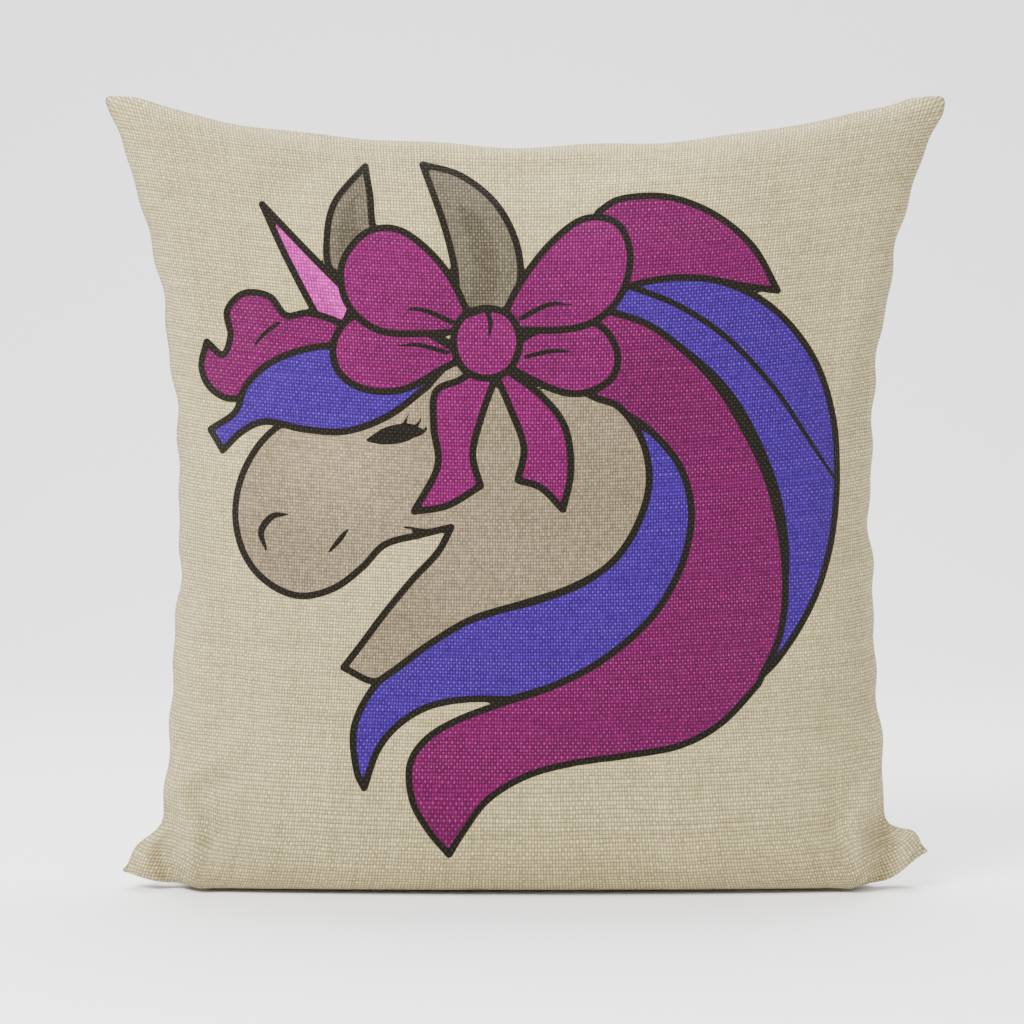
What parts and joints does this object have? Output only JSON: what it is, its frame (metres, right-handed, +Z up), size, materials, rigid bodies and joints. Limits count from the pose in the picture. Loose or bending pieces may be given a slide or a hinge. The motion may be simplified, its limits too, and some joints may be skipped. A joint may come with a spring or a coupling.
{
  "type": "throw cushion",
  "caption": "Square linen-look throw cushion with a printed unicorn head, standing on its bottom edge, with a hidden zip in the lower seam and a fibre-filled insert.",
  "frame": {"origin": "middle of the face that the cushion stands on", "axes": "+Z up towards the upper corners, -Y out of the printed front, +X to the right of the front"},
  "size_m": [0.437, 0.16, 0.412],
  "materials": {
    "printed_linen": "plain-woven linen-look cloth in natural beige, printed in magenta, violet, taupe and dark brown",
    "plain_linen": "plain-woven linen-look cloth in natural beige, matt",
    "sewing_thread": "spun polyester thread in beige",
    "zip_tape": "fine herringbone polyester tape",
    "zip_coil": "semi-gloss nylon",
    "zip_metal": "plated zinc alloy",
    "insert_casing": "white non-woven casing",
    "fibre_fill": "white polyester staple fibre"
  },
  "bodies": {
    "cushion": {"cover_front_panel": "printed_linen", "cover_back_panel": "plain_linen", "seam_thread": "sewing_thread", "overlock_thread": "sewing_thread", "zip_tape_front": "zip_tape", "zip_tape_back": "zip_tape", "zip_coil_front": "zip_coil", "zip_coil_back": "zip_coil", "zip_stitch_front": "sewing_thread", "zip_stitch_back": "sewing_thread", "zip_top_stop_front": "zip_metal", "zip_top_stop_back": "zip_metal", "zip_bottom_stop": "zip_metal", "bar_tack_left": "sewing_thread", "bar_tack_right": "sewing_thread", "insert_front_panel": "insert_casing", "insert_back_panel": "insert_casing", "insert_seam_thread": "sewing_thread", "insert_closing_stitch": "sewing_thread", "fibre_fill": "fibre_fill"},
    "slider": {"zip_slider": "zip_metal"},
    "pull": {"zip_pull": "zip_metal"}
  },
  "joints": [
    {"name": "zip_slide", "type": "slide", "parent": "cushion", "child": "slider", "axis": [-1, 0, 0], "range_m": [0, 0.319]},
    {"name": "pull_swing", "type": "hinge", "parent": "slider", "child": "pull", "pos_m": [0.16, 0, 0.00305], "axis": [0, -1, 0], "range_deg": [0, 180]}
  ]
}
